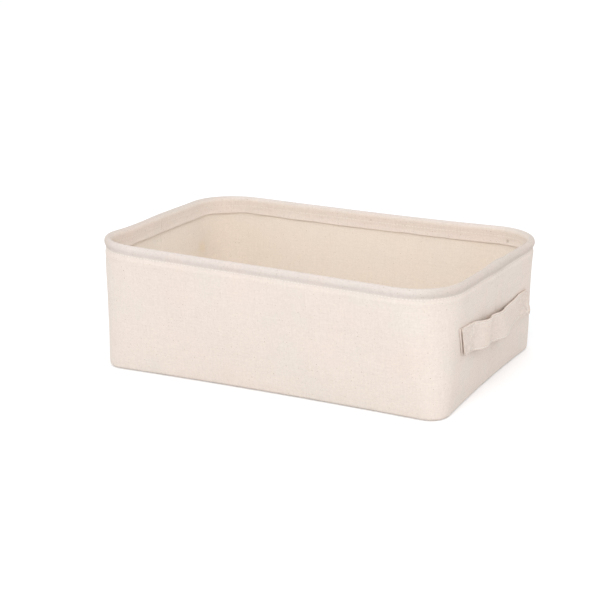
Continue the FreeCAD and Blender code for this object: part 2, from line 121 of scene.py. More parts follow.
def outline(share, halfLength, halfDepth, corner):
    # a point on half a rounded rectangle and its outward direction, from the right side seam
    # along the front to the left side seam
    quarter = corner * math.pi / 2
    side, long = halfDepth - corner, 2 * (halfLength - corner)
    along = share * (2 * side + 2 * quarter + long)
    if along < side:
        return halfLength, -along, 1.0, 0.0
    along -= side
    if along < quarter:
        turn = along / corner
        out = math.cos(turn), -math.sin(turn)
        return halfLength - corner + corner * out[0], -side + corner * out[1], *out
    along -= quarter
    if along < long:
        return halfLength - corner - along, -halfDepth, 0.0, -1.0
    along -= long
    if along < quarter:
        turn = along / corner
        out = -math.sin(turn), -math.cos(turn)
        return corner - halfLength + corner * out[0], -side + corner * out[1], *out
    return -halfLength, along - quarter - side, -1.0, 0.0


def outlineLength(z=60.0):
    halfLength, halfDepth, corner = planAt(z)
    return 2 * (halfDepth - corner) + corner * math.pi + 2 * (halfLength - corner)


def settle(x, y, z):
    shape, soft = binShape, settling
    rise = min(max(z / shape["rimTop"], 0.0), 1.05)
    right, back = 0.5 + x / (2 * shape["rimHalfLength"]), 0.5 + y / (2 * shape["rimHalfDepth"])
    shares = {"backRight": right * back, "backLeft": (1 - right) * back,
              "frontLeft": (1 - right) * (1 - back), "frontRight": right * (1 - back)}
    moved = Vector((x, y, z))
    for place, share in shares.items():
        moved += Vector(soft["rimCorners"][place]) * share * rise
        moved += Vector(soft["baseCorners"][place]) * share * (1 - rise)
        push = soft["cornerPush"][place] * smooth(*soft["cornerReach"], share) * rise
        moved += Vector((math.copysign(push, x), math.copysign(push, y), push * 0.3))
    alongLong = max(1 - (x / shape["baseHalfLength"]) ** 2, 0.0)
    alongShort = max(1 - (y / shape["baseHalfDepth"]) ** 2, 0.0)
    low = max(1 - rise, 0.0)
    nearLong = smooth(*soft["longEdgeReach"], abs(y) / shape["baseHalfDepth"])
    nearShort = smooth(*soft["shortEdgeReach"], abs(x) / shape["baseHalfLength"])
    moved.y -= math.copysign(soft["longEdgeBow"] * alongLong * low * nearLong, y)
    moved.x -= math.copysign(soft["shortEdgeBow"] * alongShort * low * nearShort, x)
    moved.z += soft["longEdgeLift"] * alongLong * low ** 4 * nearLong
    if x < 0:
        moved.x += soft["leftWallPinch"] * math.sin(math.pi * min(rise, 1.0)) * nearShort * alongShort
    return moved


def whichHalf(turn):
    # 0 is the right side seam, 1 the left one by way of the front, 2 the right one again
    return (-1, turn) if turn <= 1 else (1, 2 - turn)


def clothPoint(half, share, z, inset):
    # half is -1 for the front half of the bin and 1 for the back half
    x, y, outX, outY = outline(share, *planAt(z))
    y, outY = -half * y, -half * outY
    soft = settling
    wall = smooth(2, 30, z) * smooth(118, 92, z)  # the waves fade towards the foot and the rim
    spot = Vector((x, y, z * 0.8)) / soft["wallWaveSize"]
    wave = noise.noise(spot + Vector((3.1, 7.7, 1.3))) * soft["wallWave"] * 1.6
    wave += noise.noise(spot * 2.3 + Vector((9.4, 2.2, 5.8))) * soft["wallWave"] * 0.5
    rim = smooth(85, 112, z)
    ripple = noise.noise(Vector((x, y, 40.0)) / soft["rimWaveSize"]) * soft["rimWave"]
    outset = wave * wall + ripple * rim * 1.6 - inset
    lift = noise.noise(Vector((x, y, 90.0)) / soft["rimWaveSize"]) * soft["rimWave"] * rim * 2
    return settle(x + outX * outset, y + outY * outset, z + lift)


def addObject(name, data):
    made = bpy.data.objects.new(name, data)
    bpy.context.scene.collection.objects.link(made)
    return made


def finished(mesh, name, body, material, replaced):
    mesh.normal_update()
    data = bpy.data.meshes.new(name)
    mesh.to_mesh(data)
    mesh.free()
    for face in data.polygons:
        face.use_smooth = True
    piece = addObject(name, data)
    data.materials.append(material)
    if body:
        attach(piece, body)
    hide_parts(*replaced)
    return piece


def clothGrid(columns, rows, place, size, flip=False, closed=False):
    # a grid laid over the surface: place(share, rise) gives a point in millimetres, and the
    # weave's own map keeps the cloth's real size; the second size may be a drawn profile
    mesh = bmesh.new()
    weave = mesh.loops.layers.uv.new("weave")
    bmesh.ops.create_grid(mesh, x_segments=columns, y_segments=rows, size=1)
    spots = {vert: ((vert.co.x + 1) / 2, (vert.co.y + 1) / 2) for vert in mesh.verts}
    for face in mesh.faces:
        for loop in face.loops:
            share, rise = spots[loop.vert]
            up = lengthTo(size[1], rise) if isinstance(size[1], list) else rise * size[1]
            loop[weave].uv = (share * size[0] * mm, up * mm)
    for vert, spot in spots.items():
        vert.co = place(*spot) * mm
    if closed:
        bmesh.ops.remove_doubles(mesh, verts=mesh.verts, dist=1e-6)
    if flip:
        bmesh.ops.reverse_faces(mesh, faces=mesh.faces)
    return mesh


def thicken(piece, thickness, smoothing=1):
    solid = piece.modifiers.new("thickness", "SOLIDIFY")
    solid.thickness = thickness * mm
    solid.offset = -1.0
    solid.use_even_offset = True
    solid.use_quality_normals = True
    if smoothing:
        rounding = piece.modifiers.new("rounding", "SUBSURF")
        rounding.levels = rounding.render_levels = smoothing


def mapFlat(mesh, faces):
    # a level face takes its weave straight from above
    weave = mesh.loops.layers.uv["weave"]
    for face in faces:
        for loop in face.loops:
            loop[weave].uv = (loop.vert.co.x, loop.vert.co.y)


def turnOutwards(mesh, facesDown):
    # the biggest face says which way the whole sheet looks
    bmesh.ops.recalc_face_normals(mesh, faces=mesh.faces)
    middle = max(mesh.faces, key=lambda face: face.calc_area())
    if (middle.normal.z < 0) != facesDown:
        bmesh.ops.reverse_faces(mesh, faces=mesh.faces)


def closeEnds(mesh):
    ends = [edge for edge in mesh.edges if edge.is_boundary]
    bmesh.ops.holes_fill(mesh, edges=ends)
    bmesh.ops.recalc_face_normals(mesh, faces=mesh.faces)
    return ends


def alongProfile(points, rise):
    # a point on a drawn profile, by equal steps from its first to its last point
    place = min(max(rise, 0.0), 1.0) * (len(points) - 1)
    index = min(int(place), len(points) - 2)
    part = place - index
    return [a + (b - a) * part for a, b in zip(points[index], points[index + 1])]


def lengthTo(points, rise):
    # the length of a drawn profile up to the same place
    steps = [math.dist(a, b) for a, b in zip(points, points[1:])]
    place = min(max(rise, 0.0), 1.0) * len(steps)
    index = min(int(place), len(steps) - 1)
    return sum(steps[:index]) + steps[index] * (place - index)


def through(points, value):
    # a smooth curve through (place, height) points, level at both ends
    if value <= points[0][0]:
        return points[0][1]
    if value >= points[-1][0]:
        return points[-1][1]
    for index in range(len(points) - 1):
        (x0, y0), (x1, y1) = points[index], points[index + 1]
        if value <= x1:
            break
    before, after = points[max(index - 1, 0)], points[min(index + 2, len(points) - 1)]
    slope0 = 0.0 if index == 0 else (y1 - before[1]) / (x1 - before[0])
    slope1 = 0.0 if index == len(points) - 2 else (after[1] - y0) / (after[0] - x0)
    span = x1 - x0
    t = (value - x0) / span
    return ((2 * t**3 - 3 * t**2 + 1) * y0 + (t**3 - 2 * t**2 + t) * span * slope0
            + (3 * t**2 - 2 * t**3) * y1 + (t**3 - t**2) * span * slope1)


def addNode(tree, kind, **values):
    made = tree.nodes.new(kind)
    for name, value in values.items():
        setattr(made, name, value)
    return made


def feed(tree, source, target):
    tree.links.new(source, target)


def setSockets(made, values):
    for label, value in values.items():
        made.inputs[label].default_value = value


def calc(tree, operation, *values):
    # one sum of the shader; a value is a number or another node's output
    made = addNode(tree, "ShaderNodeMath", operation=operation)
    for socket, value in zip(made.inputs, values):
        if isinstance(value, (int, float)):
            socket.default_value = value
        else:
            feed(tree, value, socket)
    return made.outputs[0]


def remap(tree, value, before, after=(0.0, 1.0), easing="LINEAR"):
    # takes what lies between one pair of numbers to another pair
    made = addNode(tree, "ShaderNodeMapRange", interpolation_type=easing)
    feed(tree, value, made.inputs["Value"])
    setSockets(made, {"From Min": before[0], "From Max": before[1], "To Min": after[0], "To Max": after[1]})
    return made.outputs[0]


def axes(tree, vector):
    made = addNode(tree, "ShaderNodeSeparateXYZ")
    feed(tree, vector, made.inputs[0])
    return made.outputs


def noiseNode(tree, place, scale, detail=2.0, roughness=0.5, dimensions="3D"):
    made = addNode(tree, "ShaderNodeTexNoise", noise_dimensions=dimensions)
    feed(tree, place, made.inputs["Vector"])
    setSockets(made, {"Scale": scale, "Detail": detail, "Roughness": roughness})
    return made


def wavered(tree, place, scale, reach):
    # the same place, pushed about by a fine noise so that nothing in the cloth is ruled
    noisy = noiseNode(tree, place, scale, dimensions="2D")
    moved = addNode(tree, "ShaderNodeVectorMath", operation="MULTIPLY_ADD")
    feed(tree, noisy.outputs["Color"], moved.inputs[0])
    moved.inputs[1].default_value = (reach, reach, 0.0)
    feed(tree, place, moved.inputs[2])
    return moved.outputs[0]


def newGroup(name, inputs, outputs):
    # inputs holds (label, default) pairs, with None for the vector; every output is a number
    group = bpy.data.node_groups.new(name, "ShaderNodeTree")
    for label, value in inputs:
        kind = "NodeSocketVector" if value is None else "NodeSocketFloat"
        socket = group.interface.new_socket(name=label, in_out="INPUT", socket_type=kind)
        if value is not None:
            socket.default_value = value
    for label in outputs:
        group.interface.new_socket(name=label, in_out="OUTPUT", socket_type="NodeSocketFloat")
    return group, addNode(group, "NodeGroupInput").outputs, addNode(group, "NodeGroupOutput").inputs


def onTop(tree, over, warp, weft):
    # the warp's value where the warp lies over the weft, and the weft's value elsewhere
    under = calc(tree, "SUBTRACT", 1.0, over)
    return calc(tree, "ADD", calc(tree, "MULTIPLY", warp, over), calc(tree, "MULTIPLY", weft, under))


def plainWeaveGroup():
    # over-and-under yarns that vary in thickness, with the odd slub
    group, given, result = newGroup(
        "plainWeave", [("Vector", None), ("Yarns per metre", 1350.0), ("Unevenness", 0.5)],
        ["Height", "Gaps", "Yarn tone"])
    scaled = addNode(group, "ShaderNodeVectorMath", operation="SCALE")
    feed(group, wavered(group, given["Vector"], 160.0, 0.0007), scaled.inputs[0])
    feed(group, given["Yarns per metre"], scaled.inputs["Scale"])
    across, along = axes(group, scaled.outputs[0])[:2]
    rounds = [calc(group, "ABSOLUTE", calc(group, "SINE", calc(group, "MULTIPLY", part, math.pi)))
              for part in (across, along)]
    cells = calc(group, "ADD", calc(group, "FLOOR", across), calc(group, "FLOOR", along))
    over = calc(group, "FLOORED_MODULO", cells, 2.0)
    humps = [calc(group, "ADD", calc(group, "MULTIPLY", hump, 0.5), 0.5) for hump in rounds]
    warp, weft = (calc(group, "MULTIPLY", *pair) for pair in zip(rounds, reversed(humps)))
    weave = onTop(group, over, warp, weft)
    yarnTones = []
    for part, crossing in ((across, along), (along, across)):
        lane = addNode(group, "ShaderNodeCombineXYZ")
        feed(group, calc(group, "FLOOR", part), lane.inputs[0])
        feed(group, calc(group, "MULTIPLY", crossing, 0.02), lane.inputs[1])
        yarn = noiseNode(group, lane.outputs[0], 1.37, detail=3.0, dimensions="2D")
        yarnTones.append(calc(group, "SUBTRACT", yarn.outputs[0], 0.5))
    tone = calc(group, "MULTIPLY", onTop(group, over, *yarnTones), 1.2)
    bothTones = calc(group, "ADD", tone, calc(group, "MULTIPLY", calc(group, "ADD", *yarnTones), 0.5))
    uneven = calc(group, "MULTIPLY", bothTones, given["Unevenness"])
    feed(group, calc(group, "ADD", weave, uneven), result["Height"])
    feed(group, remap(group, weave, (0.1, 0.55), (1.0, 0.0), "SMOOTHSTEP"), result["Gaps"])
    feed(group, bothTones, result["Yarn tone"])
    return group


def cottonFlecksGroup():
    # bits of seed and leaf in unbleached cotton: one per cell of a scatter, most of them tiny
    group, given, result = newGroup(
        "cottonFlecks", [("Vector", None), ("Cells per metre", 210.0), ("Size", 0.085), ("Share", 0.6)],
        ["Flecks"])
    scatter = addNode(group, "ShaderNodeTexVoronoi", voronoi_dimensions="2D", feature="F1")
    feed(group, wavered(group, given["Vector"], 900.0, 0.0006), scatter.inputs["Vector"])
    feed(group, given["Cells per metre"], scatter.inputs["Scale"])
    chance = addNode(group, "ShaderNodeSeparateColor")
    feed(group, scatter.outputs["Color"], chance.inputs[0])
    present = calc(group, "LESS_THAN", chance.outputs[0], given["Share"])
    growth = calc(group, "ADD", 0.45, calc(group, "POWER", chance.outputs[1], 4.0))
    grown = calc(group, "MULTIPLY", given["Size"], growth)
    inside = calc(group, "SUBTRACT", 1.0, calc(group, "DIVIDE", scatter.outputs["Distance"], grown))
    shown = calc(group, "MULTIPLY", remap(group, inside, (0.0, 0.5)), present)
    strength = calc(group, "ADD", 0.35, calc(group, "MULTIPLY", chance.outputs[2], 0.65))
    feed(group, calc(group, "MULTIPLY", shown, strength), result["Flecks"])
    return group


plainWeave, cottonFlecks = plainWeaveGroup(), cottonFlecksGroup()


def mixColour(tree, factor, first, second, blend="MIX"):
    made = addNode(tree, "ShaderNodeMix", data_type="RGBA", blend_type=blend)
    for socket, value in ((made.inputs[0], factor), (made.inputs[6], first), (made.inputs[7], second)):
        if isinstance(value, (int, float)):
            socket.default_value = value
        elif isinstance(value, tuple):
            socket.default_value = (*value, 1.0)
        else:
            feed(tree, value, socket)
    return made.outputs[2]


def newMaterial(name):
    made = bpy.data.materials.new(name)
    made.use_nodes = True
    shader = next(n for n in made.node_tree.nodes if n.type == "BSDF_PRINCIPLED")
    return made, made.node_tree, shader


def addRelief(tree, shader, height, strength, depth):
    relief = addNode(tree, "ShaderNodeBump")
    setSockets(relief, {"Strength": strength, "Distance": depth})
    feed(tree, height, relief.inputs["Height"])
    feed(tree, relief.outputs[0], shader.inputs["Normal"])


# what all three cloths share
clothFinish = {"Roughness": 0.92, "Specular IOR Level": 0.25, "Sheen Weight": 0.12,
               "Sheen Roughness": 0.6, "Sheen Tint": (1.0, 0.95, 0.9, 1.0)}
clothTexture = {
    "cloudScale": 22.0,
    "cloudEnds": (0.32, 0.68),
    "evenness": 0.55,        # how much of the cloth's own colour lies over the clouds
    "grainScale": 420.0,
    "grainHeight": 0.8,
    "yarnTone": 0.07,
    # painted shade in the gaps between the yarns
    "paintedGapShade": -0.1,
    "warming": (1.04, 1.12),  # green and blue fall faster than red where the cloth is darker
    "fleckStrength": 0.8,
    "fleckColour": (0.33, 0.22, 0.13),
    "reliefDepth": 0.00025,
}


def clothMaterial(name, look):
    made, tree, shader = newMaterial(name)
    texture = clothTexture
    setSockets(shader, clothFinish)
    laid = addNode(tree, "ShaderNodeUVMap", uv_map="weave").outputs[0]
    weave = addNode(tree, "ShaderNodeGroup", node_tree=plainWeave)
    feed(tree, laid, weave.inputs["Vector"])
    setSockets(weave, {"Yarns per metre": look["yarns"], "Unevenness": look["unevenness"]})
    seeds = addNode(tree, "ShaderNodeGroup", node_tree=cottonFlecks)
    feed(tree, laid, seeds.inputs["Vector"])
    setSockets(seeds, {"Share": look["flecks"], "Size": look["fleckSize"],
                       "Cells per metre": look["fleckCells"]})

    place = addNode(tree, "ShaderNodeTexCoord").outputs["Object"]
    cloud = remap(tree, noiseNode(tree, place, texture["cloudScale"], 3.0).outputs[0], texture["cloudEnds"])
    base = mixColour(tree, cloud, look["warmer"], look["cooler"])
    base = mixColour(tree, texture["evenness"], base, look["colour"])

    grains = noiseNode(tree, place, texture["grainScale"], 4.0, 0.6).outputs[0]
    grain = calc(tree, "MULTIPLY", calc(tree, "SUBTRACT", grains, 0.5), look["mottle"])
    yarnTone = calc(tree, "MULTIPLY", weave.outputs["Yarn tone"], texture["yarnTone"])
    # painted shade: the gaps between the yarns are darkened
    dip = calc(tree, "MULTIPLY", weave.outputs["Gaps"], texture["paintedGapShade"])
    tone = calc(tree, "ADD", calc(tree, "ADD", 1.0, dip), calc(tree, "ADD", grain, yarnTone))
    shade = addNode(tree, "ShaderNodeCombineColor")
    feed(tree, tone, shade.inputs[0])
    for channel, fall in zip(shade.inputs[1:], texture["warming"]):
        feed(tree, calc(tree, "ADD", calc(tree, "MULTIPLY", tone, fall), 1 - fall), channel)
    toned = mixColour(tree, 1.0, base, shade.outputs[0], "MULTIPLY")
    for blotch in look.get("blotches", ()):
        spot = addNode(tree, "ShaderNodeVectorMath", operation="DISTANCE")
        feed(tree, place, spot.inputs[0])
        spot.inputs[1].default_value = blotch["place"]
        reach, strength = (0.0, blotch["radius"]), (blotch["strength"], 0.0)
        fade = remap(tree, spot.outputs["Value"], reach, strength, "SMOOTHSTEP")
        toned = mixColour(tree, fade, toned, blotch["colour"])
    if "paintedRimShade" in look:  # painted shade: a cool grey laid over the rim band, and a darker grey towards the end walls, where the rim lies in shade
        rimShadeSettings, strip = look["paintedRimShade"], 1.0
        up = axes(tree, laid)[1]
        for first, last in rimShadeSettings["edges"]:
            edge = remap(tree, up, (first * mm, last * mm), easing="SMOOTHSTEP")
            strip = calc(tree, "MULTIPLY", strip, edge)
        toSide = calc(tree, "ABSOLUTE", axes(tree, place)[0])
        towardEndWalls = remap(tree, toSide, rimShadeSettings["sides"], easing="SMOOTHSTEP")
        shadeTint = mixColour(tree, towardEndWalls, rimShadeSettings["shadeTint"], rimShadeSettings["endShadeTint"])
        toned = mixColour(tree, strip, toned, mixColour(tree, 1.0, toned, shadeTint, "MULTIPLY"))
    specks = calc(tree, "MULTIPLY", seeds.outputs["Flecks"], texture["fleckStrength"])
    feed(tree, mixColour(tree, specks, toned, texture["fleckColour"]), shader.inputs["Base Color"])

    fuzz = calc(tree, "MULTIPLY", grains, texture["grainHeight"])
    height = calc(tree, "ADD", weave.outputs["Height"], fuzz)
    addRelief(tree, shader, height, look["bump"], texture["reliefDepth"])
    return made


# edges of the rim band's painted-shade strip are millimetres up the cloth; every other place and size is in
# metres
canvasLook = {
    "colour": (0.81, 0.716, 0.646), "warmer": (0.835, 0.706, 0.632), "cooler": (0.795, 0.727, 0.652),
    "yarns": 1700.0, "unevenness": 0.45, "mottle": 0.18, "bump": 0.4,
    "flecks": 0.75, "fleckCells": 300.0, "fleckSize": 0.095,
    # painted shade on the rim band: cool grey over the front and back, darker grey at the end walls
    "paintedRimShade": {"edges": ((114.5, 119.5), (134.0, 129.0)), "shadeTint": (0.90, 0.91, 0.935),
                "sides": (0.145, 0.176), "endShadeTint": (0.835, 0.825, 0.825)},
    "blotches": [{"place": (0.150, 0.1196, 0.1044), "radius": 0.0026, "strength": 0.5,
                  "colour": (0.25, 0.17, 0.1)},
                 {"place": (0.0012, 0.1184, 0.1105), "radius": 0.0018, "strength": 0.3,
                  "colour": (0.3, 0.2, 0.12)}],
}
liningLook = {
    "colour": (0.846, 0.757, 0.667), "warmer": (0.861, 0.752, 0.65), "cooler": (0.831, 0.762, 0.686),
    "yarns": 1900.0, "unevenness": 0.4, "mottle": 0.14, "bump": 0.3,
    "flecks": 0.4, "fleckCells": 260.0, "fleckSize": 0.08,
    "blotches": [{"place": (-0.178, 0.078, 0.070), "radius": 0.012, "strength": 0.3,
                  "colour": (0.80, 0.62, 0.38)}],
}
strapLook = {
    "colour": (0.82, 0.712, 0.632), "warmer": (0.84, 0.702, 0.615), "cooler": (0.81, 0.718, 0.652),
    "yarns": 1600.0, "unevenness": 0.5, "mottle": 0.3, "bump": 0.5,
    "flecks": 0.5, "fleckCells": 280.0, "fleckSize": 0.085,
}

canvasCloth = clothMaterial("unbleachedCanvas", canvasLook)
liningCloth = clothMaterial("liningCotton", liningLook)
strapCloth = clothMaterial("strapCanvas", strapLook)


def plainMaterial(name, colour, roughness, scale, metallic=0.0, variation=0.08, bump=0.1):
    made, tree, shader = newMaterial(name)
    shader.inputs["Metallic"].default_value = metallic
    place = addNode(tree, "ShaderNodeTexCoord").outputs["Object"]
    grain = noiseNode(tree, place, scale, 4.0).outputs[0]
    dark = tuple(part * (1 - variation) for part in colour)
    light = tuple(min(part * (1 + variation), 1.0) for part in colour)
    feed(tree, mixColour(tree, grain, dark, light), shader.inputs["Base Color"])
    rough = remap(tree, grain, (0.0, 1.0), (roughness - 0.08, roughness + 0.08))
    feed(tree, rough, shader.inputs["Roughness"])
    addRelief(tree, shader, grain, bump, 0.0002)
    return made


cottonThread = plainMaterial("cottonThread", (0.84, 0.775, 0.71), 0.8, scale=2500.0, variation=0.12, bump=0.4)
strapThread = plainMaterial("strapThread", (0.89, 0.84, 0.785), 0.8, scale=2500.0, variation=0.12, bump=0.4)
steelWire = plainMaterial("drawnSteelWire", (0.56, 0.57, 0.58), 0.34, metallic=1.0, scale=900.0)
crimpMetal = plainMaterial("crimpedAluminium", (0.75, 0.76, 0.77), 0.42, metallic=1.0, scale=700.0)
stiffenerSheet = plainMaterial("stiffenerSheet", (0.76, 0.75, 0.72), 0.55, scale=220.0)
boardSheet = plainMaterial("boardSheet", (0.56, 0.52, 0.46), 0.85, scale=500.0, variation=0.15)
print("materials made")


outerCanvas = {
    "columns": 150,
    "seamOverlap": (0.5, 0.9),  # how far the panels run into each other at the right and left seams
    "leftSeam": 0.25,        # how much dip and bulk the left seam has: it has no sleeve inside
    "seamDip": 0.35,         # the side seam draws in
    "seamDipWidth": 1.1,
    "seamBulk": 0.9,         # and is thicker beside it, where the turnings and the wire's sleeve lie
    "seamBulkWidth": 15.0,
    "hemEdgeWave": 0.4,      # the hem's lower edge isn't straight
    "hemEdgeGape": 0.3,      # and stands off the lining in places
}
tubeWide, tubeTall = binShape["tubeHalfWidth"], binShape["tubeHalfHeight"]
tubeLevel = binShape["rimTop"] - tubeTall
# the canvas from under the bin's edge up to the hem's edge inside: (inset, height)
footProfile = [(7.5, 1.4), (5.4, 1.35), (4.3, 1.1), (3.8, 0.45), (3.1, 0.12), (2.2, 0.18), (1.35, 0.55),
               (0.65, 1.3), (0.25, 2.4), (0.16, 3.3), (0.24, 3.9), (0.1, 4.6), (0.03, 6.2), (0.0, 8.5)]
straightProfile = [(0.0, z) for z in (13, 20, 28, 36, 44, 52, 60, 68, 76, 84, 91, 97, 101)]
grooveProfile = [(0.0, 103.3), (0.15, 105.0), (0.55, 106.6), (1.0, 108.2), (1.3, 109.6), (1.45, 110.5),
                 (1.4, 111.3)]
tubeProfile = [(tubeWide - tubeWide * math.cos(turn), tubeLevel + tubeTall * math.sin(turn))
               for turn in (math.radians(angle) for angle in range(-40, 201, 20))]
hemProfile = [(6.55, 112.6), (6.35, 111.3), (6.25, 110.0), (6.15, 108.4), (6.0, 106.8), (5.75, 105.2),
              (5.5, 103.9), (5.4, 102.9), (5.5, 102.2)]
wallProfile = footProfile + straightProfile + grooveProfile + tubeProfile + hemProfile


def panelPoint(half):
    def place(share, rise):
        inset, z = alongProfile(wallProfile, rise)
        cloth, length = outerCanvas, outlineLength(z)
        toSeam = min(share, 1 - share) * length
        onRim = smooth(100, 110, z)
        much = 1.0 if share < 0.5 else cloth["leftSeam"]
        dip = much * cloth["seamDip"] * math.exp(-(toSeam / cloth["seamDipWidth"]) ** 2)
        inset += dip * (0.3 + 0.7 * onRim)
        bulk = much * cloth["seamBulk"] * math.exp(-(toSeam / cloth["seamBulkWidth"]) ** 4)
        bulk *= 0.15 + 0.85 * onRim
        if z > tubeLevel:
            z += bulk * 0.7
        inset += bulk if inset > tubeWide else -bulk
        if rise > 0.75 and z < 109:  # the hem's inner side
            hem = smooth(109, 102, z)
            spot = Vector((share * length / 26, half * 5.0, 0.0))
            z += noise.noise(spot) * cloth["hemEdgeWave"] * 2 * hem
            gape = 0.5 + noise.noise(spot * 0.6 + Vector((4.0, 0.0, 2.0)))
            inset += max(gape, 0.0) * cloth["hemEdgeGape"] * hem
        point = clothPoint(half, share, z, inset)
        if share in (0.0, 1.0):
            point.y -= half * cloth["seamOverlap"][round(share)]
        return point
    return place


def outerPanel(name, half, node):
    size = outlineLength(), wallProfile
    mesh = clothGrid(outerCanvas["columns"], len(wallProfile) - 1, panelPoint(half), size, flip=half < 0)
    piece = finished(mesh, name, "bin", canvasCloth, [node])
    thicken(piece, binShape["canvas"])


outerPanel("outerFrontPanel", -1, "front_panel")
outerPanel("outerBackPanel", 1, "back_panel")


def baseSheet(name, profile, thickness, material, node, facesDown):
    # a base cloth: its edge follows the wall all the way round, and its middle is flat
    def place(share, rise):
        inset, z = alongProfile(profile, rise)
        return clothPoint(*whichHalf(share * 2), z, inset)

    ringLength = 2 * outlineLength(3.0)
    mesh = clothGrid(240, len(profile) - 1, place, (ringLength, profile), closed=True)
    last = place(0.0, 1.0) * mm
    start = min(mesh.verts, key=lambda vert: (vert.co - last).length)
    edge = next(e for e in start.link_edges if e.is_boundary)
    ring, vert = [], start
    while edge not in ring:
        ring.append(edge)
        vert = edge.other_vert(vert)
        edge = next((e for e in vert.link_edges if e.is_boundary and e is not edge), edge)
    mapFlat(mesh, bmesh.ops.contextual_create(mesh, geom=ring)["faces"])
    turnOutwards(mesh, facesDown)
    piece = finished(mesh, name, "bin", material, [node])
    thicken(piece, thickness, smoothing=0)


# the base panel meets the rolled foot of the wall underneath
basePanelProfile = [(4.35, 0.5), (4.6, 0.2), (5.4, 0.04), (7.0, 0.0), (10.0, 0.0), (14.0, 0.0)]
baseSheet("outerBasePanel", basePanelProfile, binShape["canvas"], canvasCloth, "base_panel", True)
print("outer canvas made")


liningFace = binShape["liningInset"] + binShape["lining"]
liningOverlap = 0.25, 0.5    # at the right and left side seams
liningProfile = ([(liningFace + 0.6, 3.4), (liningFace + 0.1, 4.6), (liningFace, 7.0)]
                 + [(liningFace, z) for z in (12, 20, 30, 40, 50, 60, 70, 80, 88, 95, 100)]
                 + [(3.5, 104.0), (3.6, 107.0), (3.75, 109.5), (3.9, 111.3)])


def liningPoint(half):
    def place(share, rise):
        inset, z = alongProfile(liningProfile, rise)
        point = clothPoint(half, share, z, inset)
        if share in (0.0, 1.0):
            point.y -= half * liningOverlap[round(share)]
        return point
    return place


def liningPanel(name, half, node):
    size = outlineLength(), liningProfile
    mesh = clothGrid(120, len(liningProfile) - 1, liningPoint(half), size, flip=half > 0)
    piece = finished(mesh, name, "bin", liningCloth, [node])
    thicken(piece, binShape["lining"])


liningPanel("liningFront", -1, "front_lining")
liningPanel("liningBack", 1, "back_lining")
baseLiningProfile = [(liningFace + 0.7, 3.1), (liningFace + 2.0, 3.15), (9.0, 3.2), (14.0, 3.2)]
baseSheet("liningBase", baseLiningProfile, binShape["baseLining"], liningCloth, "base_lining",
          False)


# each sheet's half of the bin, and where it starts and ends as shares of that half
stiffenerPlaces = {"front": (-1, 0.29, 0.71), "back": (1, 0.29, 0.71),
                   "right": (-1, -0.12, 0.12), "left": (-1, 0.88, 1.12)}
stiffenerSize = 200, 99


def stiffenerPiece(name, half, firstShare, lastShare, node):
    # a flat sheet between canvas and lining that takes the wall's own shape; past either end
    # of one half of the bin it runs on into the other half
    bottom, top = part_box(node)[0].z / mm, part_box(node)[1].z / mm

    def place(share, rise):
        part = firstShare + (lastShare - firstShare) * share
        at, part = (half, part) if 0 <= part <= 1 else (-half, -part if part < 0 else 2 - part)
        return clothPoint(at, part, bottom + (top - bottom) * rise, binShape["stiffenerInset"])

    mesh = clothGrid(48, 24, place, stiffenerSize, flip=half < 0)
    piece = finished(mesh, name, "bin", stiffenerSheet, [node])
    thicken(piece, binShape["stiffener"], smoothing=0)


for word, place in stiffenerPlaces.items():
    stiffenerPiece(f"stiffener{word.capitalize()}", *place, f"{word}_stiffener")
print("lining and stiffeners made")


rimWire = {
    "radius": 2.0,
    "gap": 0.5,              # from each end of the wire to the middle of the sleeve
    "inset": tubeWide + 0.1,
    "level": tubeLevel + 0.2,
    "sleeveRadius": 2.75,
    "sleeveLength": 26.0,
    "sleeveWall": 0.3,
    "crimps": (-8.0, 0.0, 8.0),
    "crimpDepth": 0.35,
    "crimpWidth": 1.8,
}


def rimPoint(around, inset, z):
    # all the way round the rim by distance in millimetres from the right side seam, forwards
    # along the front first
    length = outlineLength(z)
    return clothPoint(*whichHalf((around / length) % 2), z, inset)


def rimAxes(around, inset, z):
    middle = rimPoint(around, inset, z)
    along = (rimPoint(around + 0.5, inset, z) - rimPoint(around - 0.5, inset, z)).normalized()
    inward = along.cross(Vector((0, 0, 1))).normalized()
    return middle, along, inward, inward.cross(along)


def ringAround(around, radius, turn):
    middle, _, inward, up = rimAxes(around, rimWire["inset"], rimWire["level"])
    return middle + inward * radius * math.cos(turn) + up * radius * math.sin(turn)


def wirePiece():
    whole = 2 * outlineLength(tubeLevel)

    def place(share, rise):
        around = rimWire["gap"] + (whole - 2 * rimWire["gap"]) * share
        return ringAround(around, rimWire["radius"], rise * 2 * math.pi)

    mesh = clothGrid(300, 10, place, (whole, 12), closed=True)
    closeEnds(mesh)
    finished(mesh, "rimWire", "bin", steelWire, ["rim_wire"])


def sleevePiece():
    length, depth = rimWire["sleeveLength"], rimWire["crimpDepth"]

    def place(share, rise):
        around = (share - 0.5) * length
        nearness = ((around - crimp) / rimWire["crimpWidth"] for crimp in rimWire["crimps"])
        pressed = sum(math.exp(-near ** 2) for near in nearness) * depth
        edge = 0.25 * (1 - smooth(0, 0.6, length / 2 - abs(around)))
        turn = rise * 2 * math.pi
        radius = rimWire["sleeveRadius"] - pressed * (0.4 + 0.6 * abs(math.cos(turn))) - edge
        return ringAround(around, radius, turn)

    mesh = clothGrid(64, 24, place, (length, 17), closed=True)
    bmesh.ops.recalc_face_normals(mesh, faces=mesh.faces)
    piece = finished(mesh, "rimWireSleeve", "bin", crimpMetal, ["rim_wire_sleeve"])
    thicken(piece, rimWire["sleeveWall"], smoothing=0)


wirePiece()
sleevePiece()
print("rim wire made")


stitchShape = {
    "radius": 0.38,
    "rimPitch": 3.3,
    "strapPitch": 3.0,
    "fill": 0.74,            # how much of its pitch each stitch takes up
    "rimLevel": 110.4,
    "strapLift": (0.18, 1.12),  # where its middle lies over the strap, and a point straight out from it
}


